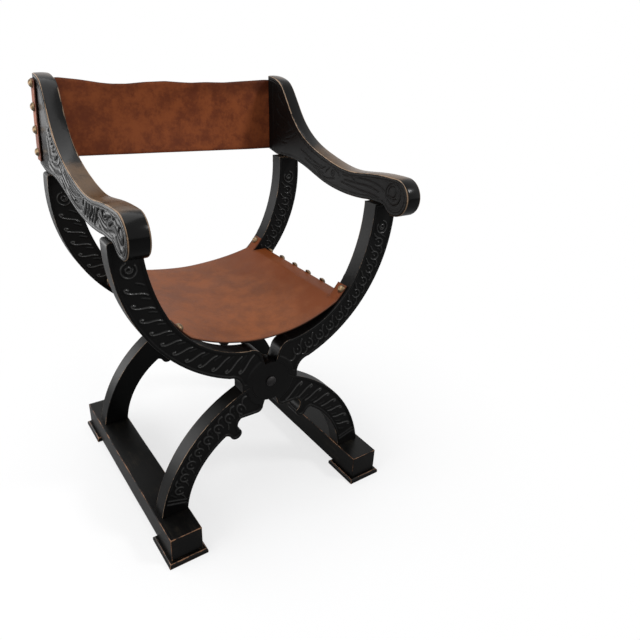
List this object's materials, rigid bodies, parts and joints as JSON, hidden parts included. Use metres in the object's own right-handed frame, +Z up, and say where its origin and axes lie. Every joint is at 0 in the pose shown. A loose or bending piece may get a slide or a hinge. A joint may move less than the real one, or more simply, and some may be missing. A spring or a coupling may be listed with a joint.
{
  "type": "savonarola chair",
  "caption": "Folding scissor armchair in carved ebonised wood, with leather slung between the frames for the seat and between the uprights for the back.",
  "frame": {"origin": "middle of the chair's floor plan, on the floor under the four pads", "axes": "+X to the sitter's left, +Y to the back of the chair, +Z up"},
  "size_m": [0.5756, 0.5417, 0.828],
  "materials": {
    "ebonised_wood": "satin black stain and wax over oak, rubbed brown on the edges and arm tops",
    "seat_leather": "cognac saddle leather, soft sheen, mottled",
    "back_leather": "darker cognac saddle leather, soft sheen, mottled",
    "aged_brass": "domed antique brass nails",
    "blackened_iron": "blackened pivot pin with a low dome",
    "steel_screws": "plain wood screws, hidden",
    "beech_dowels": "plain beech, hidden"
  },
  "bodies": {
    "left_arm_half": {"back_leather": "back_leather", "front_left_cross_member": "ebonised_wood", "front_pivot_pin": "blackened_iron", "front_pivot_washer": "blackened_iron", "left_arm": "ebonised_wood", "left_arm_dowels": "beech_dowels", "left_back_nails": "aged_brass", "left_seat_corner_nails": "aged_brass", "left_seat_nails": "aged_brass", "left_seat_rail": "ebonised_wood", "rear_left_cross_member": "ebonised_wood", "rear_pivot_pin": "blackened_iron", "rear_pivot_washer": "blackened_iron", "right_leg_screws": "steel_screws", "right_pad_screws": "steel_screws", "right_runner": "ebonised_wood", "right_runner_front_pad": "ebonised_wood", "right_runner_rear_pad": "ebonised_wood", "seat_leather": "seat_leather"},
    "right_arm_half": {"front_right_cross_member": "ebonised_wood", "left_leg_screws": "steel_screws", "left_pad_screws": "steel_screws", "left_runner": "ebonised_wood", "left_runner_front_pad": "ebonised_wood", "left_runner_rear_pad": "ebonised_wood", "rear_right_cross_member": "ebonised_wood", "right_arm": "ebonised_wood", "right_arm_dowels": "beech_dowels", "right_back_nails": "aged_brass", "right_seat_corner_nails": "aged_brass", "right_seat_nails": "aged_brass", "right_seat_rail": "ebonised_wood"}
  },
  "joints": [
    {"name": "scissor_fold", "type": "hinge", "parent": "left_arm_half", "child": "right_arm_half", "pos_m": [0, 0, 0.3], "axis": [0, -1, 0], "range_deg": [0, 32], "deforming": ["seat_leather", "back_leather"]}
  ]
}
